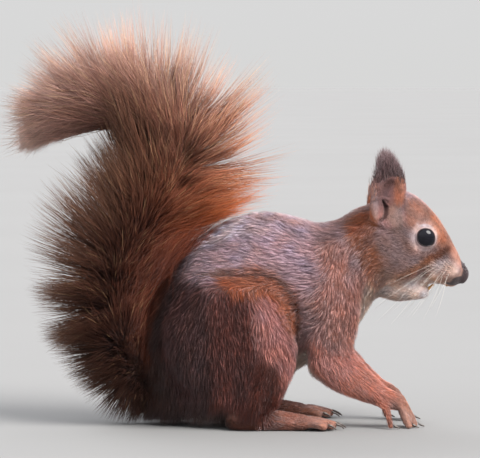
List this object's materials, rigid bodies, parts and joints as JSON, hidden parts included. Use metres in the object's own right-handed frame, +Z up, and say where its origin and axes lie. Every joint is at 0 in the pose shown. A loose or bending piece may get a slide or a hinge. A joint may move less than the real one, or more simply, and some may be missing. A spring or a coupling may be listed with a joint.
{
  "type": "red squirrel model",
  "caption": "Life-size still model of a Eurasian red squirrel crouched on all fours, bushy tail raised behind it with the tip bent back.",
  "frame": {"origin": "middle of the model's outline on the floor it stands on", "axes": "+X the way the squirrel faces, +Y its left, +Z up"},
  "size_m": [0.2338, 0.0792, 0.2042],
  "materials": {
    "fur_body": "dense short fur, greyish red-brown",
    "fur_head": "very short fur, orange-brown with grey cheeks and a pale ring round the eye",
    "fur_legs": "short fur, reddish orange on the legs and darker on the thighs",
    "fur_tail": "long loose hair, red-brown with straw-coloured tips and a dark core",
    "ear": "thin skin under fine hair, with a dark tuft at the tip",
    "eye": "wet glossy black",
    "nose": "bare moist dark skin",
    "claw": "dark horn",
    "tooth": "orange-yellow enamel"
  },
  "bodies": {
    "root": {"claw_fore_left_1": "claw", "claw_fore_left_2": "claw", "claw_fore_left_3": "claw", "claw_fore_left_4": "claw", "claw_fore_right_1": "claw", "claw_fore_right_2": "claw", "claw_fore_right_3": "claw", "claw_fore_right_4": "claw", "claw_hind_left_1": "claw", "claw_hind_left_2": "claw", "claw_hind_left_3": "claw", "claw_hind_left_4": "claw", "claw_hind_left_5": "claw", "claw_hind_right_1": "claw", "claw_hind_right_2": "claw", "claw_hind_right_3": "claw", "claw_hind_right_4": "claw", "claw_hind_right_5": "claw", "ear_left": "ear", "ear_right": "ear", "eye_left": "eye", "eye_right": "eye", "fore_foot_left": "fur_legs", "fore_foot_right": "fur_legs", "forearm_left": "fur_legs", "forearm_right": "fur_legs", "head": "fur_head", "hind_foot_left": "fur_legs", "hind_foot_right": "fur_legs", "incisors_lower": "tooth", "incisors_upper": "tooth", "jaw": "fur_head", "neck": "fur_body", "nose": "nose", "shank_left": "fur_legs", "shank_right": "fur_legs", "tail_base": "fur_tail", "tail_plume": "fur_tail", "tail_tip": "fur_tail", "thigh_left": "fur_legs", "thigh_right": "fur_legs", "trunk": "fur_body", "upper_arm_left": "fur_legs", "upper_arm_right": "fur_legs"}
  },
  "joints": []
}
